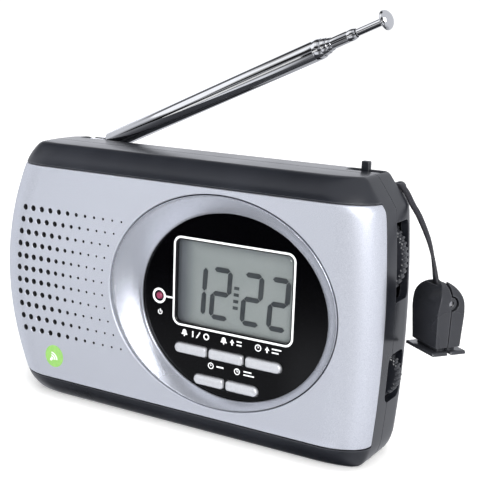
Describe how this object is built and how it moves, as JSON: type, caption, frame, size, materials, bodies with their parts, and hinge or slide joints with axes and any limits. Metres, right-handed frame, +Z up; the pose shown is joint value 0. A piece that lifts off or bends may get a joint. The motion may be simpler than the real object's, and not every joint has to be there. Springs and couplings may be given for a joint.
{
  "type": "emergency radio",
  "caption": "Pocket radio with an oval clock dial, push buttons, side thumbwheels, folding whip antenna, battery door and a clip on a short strap.",
  "frame": {"origin": "middle of the bottom resting face, halfway through the case's depth", "axes": "+X to the right as seen from the front, +Y to the back (the front panel faces -Y), +Z up"},
  "size_m": [0.1397, 0.03, 0.1151],
  "materials": {
    "silver_panel": "silver metallic paint on moulded plastic, fine flake, satin",
    "black_case": "charcoal ABS with a fine moulded texture",
    "gloss_black_dial": "piano-black gloss",
    "clear_window": "clear acrylic",
    "display_glass": "grey-green liquid crystal display",
    "red_lens": "translucent red",
    "silver_buttons": "silver-white paint, satin",
    "keypad_rubber": "grey silicone rubber",
    "circuit_board": "green solder mask",
    "black_component": "moulded black component",
    "white_component": "white moulded component",
    "ferrite": "dull dark grey ferrite",
    "copper_wire": "enamelled copper winding",
    "steel": "nickel-plated steel",
    "battery_jacket": null,
    "speaker_paper": "black pressed paper",
    "wheel_black": "black moulded, knurled rim",
    "antenna_chrome": "bright chrome plate",
    "strap_black": "black flexible strap",
    "clip_black": "black moulded plastic, satin gloss"
  },
  "bodies": {
    "root": {"front_panel": "silver_panel", "dial_ring": "silver_panel", "case_front": "black_case", "case_rear": "black_case", "dial_plate": "gloss_black_dial", "display_window": "clear_window", "display_glass": "display_glass", "alarm_indicator": "red_lens", "keypad_mat": "keypad_rubber", "clock_board": "circuit_board", "main_board": "circuit_board", "radio_chip": "black_component", "smoothing_capacitor": "black_component", "volume_control": "black_component", "earphone_jack": "black_component", "tuning_capacitor": "white_component", "ferrite_rod": "ferrite", "speaker_magnet": "ferrite", "ferrite_coil": "copper_wire", "if_can": "steel", "band_switch": "steel", "battery_spring_1": "steel", "battery_spring_2": "steel", "battery_bridge_plate": "steel", "battery_plate_positive": "steel", "battery_plate_negative": "steel", "speaker_basket": "steel", "case_screw_1": "steel", "case_screw_2": "steel", "case_screw_3": "steel", "case_screw_4": "steel", "strap_pin": "steel", "battery_1": "battery_jacket", "battery_2": "battery_jacket"},
    "alarm_on_off_button": {"alarm_on_off_button": "silver_buttons"},
    "alarm_set_button": {"alarm_set_button": "silver_buttons"},
    "time_set_button": {"time_set_button": "silver_buttons"},
    "hour_button": {"hour_button": "silver_buttons"},
    "minute_button": {"minute_button": "silver_buttons"},
    "tuning_thumbwheel": {"tuning_thumbwheel": "wheel_black"},
    "volume_thumbwheel": {"volume_thumbwheel": "wheel_black"},
    "band_switch_lever": {"band_switch_lever": "wheel_black"},
    "speaker_cone": {"speaker_cone": "speaker_paper"},
    "battery_door": {"battery_door": "black_case"},
    "antenna_swivel": {"antenna_swivel": "antenna_chrome", "antenna_hinge_pin": "steel"},
    "antenna_tube_1": {"antenna_hinge_end": "antenna_chrome", "antenna_tube_1": "antenna_chrome"},
    "antenna_tube_2": {"antenna_tube_2": "antenna_chrome"},
    "antenna_tube_3": {"antenna_tube_3": "antenna_chrome"},
    "antenna_tube_4": {"antenna_tube_4": "antenna_chrome"},
    "antenna_tip_rod": {"antenna_tip_rod": "antenna_chrome"},
    "strap": {"strap": "strap_black"},
    "clip": {"clip_front_jaw": "clip_black", "clip_pin": "steel", "clip_spring": "steel"},
    "clip_rear_jaw": {"clip_rear_jaw": "clip_black"}
  },
  "joints": [
    {"name": "alarm_on_off_press", "type": "slide", "parent": "root", "child": "alarm_on_off_button", "axis": [0, 1, 0], "range_m": [0, 0.0007], "stiffness_N_per_m": 30, "springref_m": -0.0003},
    {"name": "alarm_set_press", "type": "slide", "parent": "root", "child": "alarm_set_button", "axis": [0, 1, 0], "range_m": [0, 0.0007], "stiffness_N_per_m": 30, "springref_m": -0.0003},
    {"name": "time_set_press", "type": "slide", "parent": "root", "child": "time_set_button", "axis": [0, 1, 0], "range_m": [0, 0.0007], "stiffness_N_per_m": 30, "springref_m": -0.0003},
    {"name": "hour_press", "type": "slide", "parent": "root", "child": "hour_button", "axis": [0, 1, 0], "range_m": [0, 0.0007], "stiffness_N_per_m": 30, "springref_m": -0.0003},
    {"name": "minute_press", "type": "slide", "parent": "root", "child": "minute_button", "axis": [0, 1, 0], "range_m": [0, 0.0007], "stiffness_N_per_m": 30, "springref_m": -0.0003},
    {"name": "tuning_turn", "type": "hinge", "parent": "root", "child": "tuning_thumbwheel", "pos_m": [0.0488, 0.003, 0.0533], "axis": [0, 1, 0], "range_deg": [-90, 90]},
    {"name": "volume_turn", "type": "hinge", "parent": "root", "child": "volume_thumbwheel", "pos_m": [0.0548, 0.003, 0.023], "axis": [0, 1, 0], "range_deg": [0, 270]},
    {"name": "band_select", "type": "slide", "parent": "root", "child": "band_switch_lever", "axis": [1, 0, 0], "range_m": [-0.0014, 0.0014]},
    {"name": "cone_travel", "type": "slide", "parent": "root", "child": "speaker_cone", "axis": [0, 1, 0], "range_m": [-0.00015, 0.00015], "stiffness_N_per_m": 200},
    {"name": "door_open", "type": "hinge", "parent": "root", "child": "battery_door", "pos_m": [0, 0.0143, 0.005], "axis": [-1, 0, 0], "range_deg": [0, 75]},
    {"name": "antenna_swing", "type": "hinge", "parent": "root", "child": "antenna_swivel", "pos_m": [-0.042, 0.0103, 0.0722], "axis": [0, 0, 1], "range_deg": [0, 90]},
    {"name": "antenna_fold", "type": "hinge", "parent": "antenna_swivel", "child": "antenna_tube_1", "pos_m": [-0.042, 0.0103, 0.0722], "axis": [0, -1, 0], "range_deg": [-22, 66]},
    {"name": "antenna_extend_2", "type": "slide", "parent": "antenna_tube_1", "child": "antenna_tube_2", "axis": [0.9135, 0, 0.4067], "range_m": [-0.0012, 0.06]},
    {"name": "antenna_extend_3", "type": "slide", "parent": "antenna_tube_2", "child": "antenna_tube_3", "axis": [0.9135, 0, 0.4067], "range_m": [-0.001, 0.06]},
    {"name": "antenna_extend_4", "type": "slide", "parent": "antenna_tube_3", "child": "antenna_tube_4", "axis": [0.9135, 0, 0.4067], "range_m": [-0.007, 0.055]},
    {"name": "antenna_extend_tip", "type": "slide", "parent": "antenna_tube_4", "child": "antenna_tip_rod", "axis": [0.9135, 0, 0.4067], "range_m": [-0.0055, 0.058]},
    {"name": "strap_swing", "type": "hinge", "parent": "root", "child": "strap", "pos_m": [0.0546, 0.0086, 0.0703], "axis": [0, -1, 0], "range_deg": [0, 70]},
    {"name": "clip_swing", "type": "hinge", "parent": "strap", "child": "clip", "pos_m": [0.0697, 0.005, 0.0445], "axis": [0.809, -0.5878, 0], "range_deg": [-2, 12]},
    {"name": "clip_open", "type": "hinge", "parent": "clip", "child": "clip_rear_jaw", "pos_m": [0.0697, 0.005, 0.0445], "axis": [0.809, -0.5878, 0], "range_deg": [0, 8], "stiffness_Nm_per_rad": 0.002, "springref_deg": -28.65}
  ]
}
